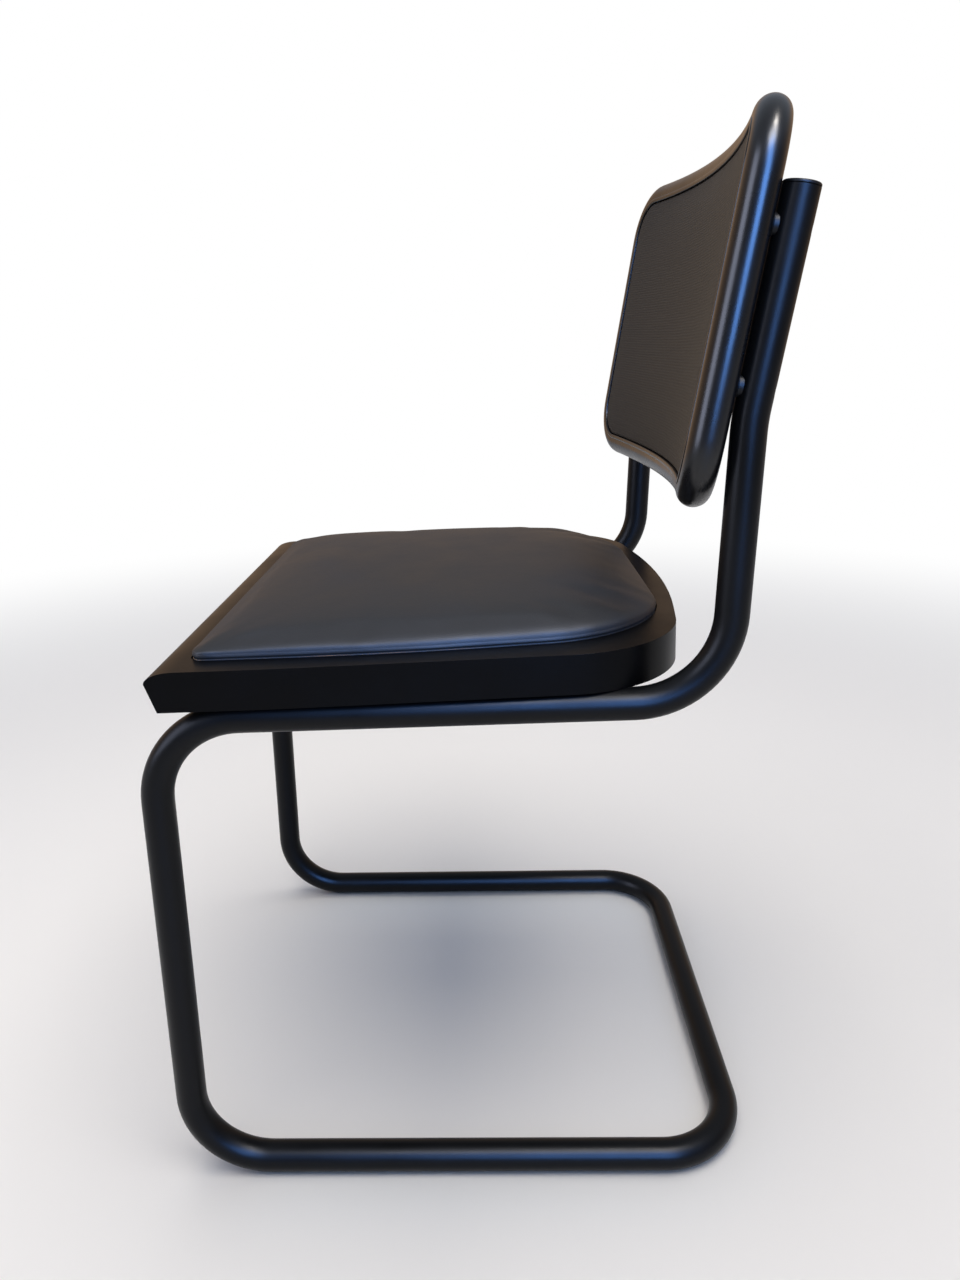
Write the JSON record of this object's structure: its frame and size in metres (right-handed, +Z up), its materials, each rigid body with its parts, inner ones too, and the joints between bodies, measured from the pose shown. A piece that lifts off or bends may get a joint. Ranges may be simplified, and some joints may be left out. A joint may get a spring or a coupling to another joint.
{
  "type": "cantilever chair",
  "caption": "Cantilever dining chair: bent round steel tube base, upholstered seat pad in a bentwood frame, curved upholstered back in a rounded wooden frame.",
  "frame": {"origin": "on the floor, under the middle of the whole chair", "axes": "+Z up, -Y towards the front of the seat, +X across the chair"},
  "size_m": [0.459, 0.4944, 0.8427],
  "materials": {
    "powder_coated_steel": "satin",
    "plug_plastic": "satin",
    "satin_lacquered_beech": "satin",
    "gloss_lacquered_beech": "gloss",
    "bare_beech": "matte",
    "plywood": "matte",
    "foam": "matte",
    "leatherette": "satin",
    "zinc_plated_steel": "satin",
    "brass": "satin",
    "black_screws": "satin",
    "ribbed_fabric": "matte",
    "bright_washers": "polished",
    "spacer_plastic": "satin"
  },
  "bodies": {
    "root": {"tube_frame": "powder_coated_steel", "end_plug_left": "plug_plastic", "end_plug_right": "plug_plastic", "seat_front_rail": "satin_lacquered_beech", "seat_bent_rail": "satin_lacquered_beech", "seat_rail_dowels": "bare_beech", "seat_board": "plywood", "seat_foam": "foam", "seat_cover": "leatherette", "seat_board_screws": "zinc_plated_steel", "seat_inserts": "brass", "seat_screws": "black_screws", "back_upper_bend": "gloss_lacquered_beech", "back_lower_bend": "gloss_lacquered_beech", "back_frame_dowels": "bare_beech", "back_board": "plywood", "back_front_foam": "foam", "back_front_cover": "ribbed_fabric", "back_rear_foam": "foam", "back_rear_cover": "ribbed_fabric", "back_washers": "bright_washers", "back_spacers": "spacer_plastic", "back_inserts": "brass", "back_screws": "black_screws"}
  },
  "joints": []
}
